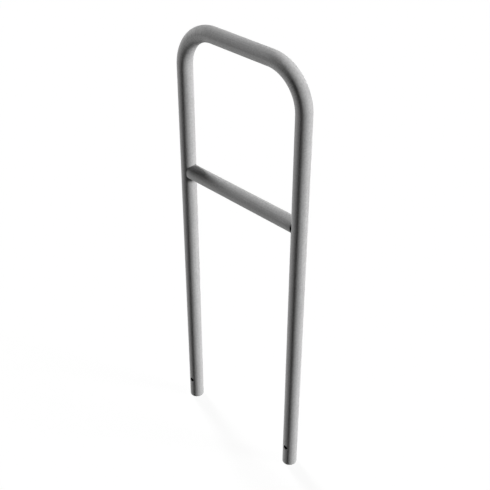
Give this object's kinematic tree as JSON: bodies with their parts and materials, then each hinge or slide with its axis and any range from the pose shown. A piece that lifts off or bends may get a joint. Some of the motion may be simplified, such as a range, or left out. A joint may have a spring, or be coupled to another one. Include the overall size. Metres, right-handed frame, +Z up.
{
  "type": "hoop barrier",
  "caption": "Tall round-cornered steel tube hoop with a welded knee rail and cross-drilled feet, for casting into the ground as a barrier or leaning rail.",
  "frame": {"origin": "midway between the two feet, at the level of their cut ends", "axes": "+X along the width of the hoop, +Y straight through it, +Z up"},
  "size_m": [0.551, 0.051, 1.5255],
  "materials": {
    "galvanised_tube": "hot-dip galvanised, dull even grey with a faint mottle",
    "galvanised_weld": "hot-dip galvanised over the weld, slightly rougher and duller than the tube"
  },
  "bodies": {
    "root": {"hoop_tube": "galvanised_tube", "knee_rail": "galvanised_tube", "upper_left_weld": "galvanised_weld", "lower_left_weld": "galvanised_weld", "upper_right_weld": "galvanised_weld", "lower_right_weld": "galvanised_weld"}
  },
  "joints": []
}
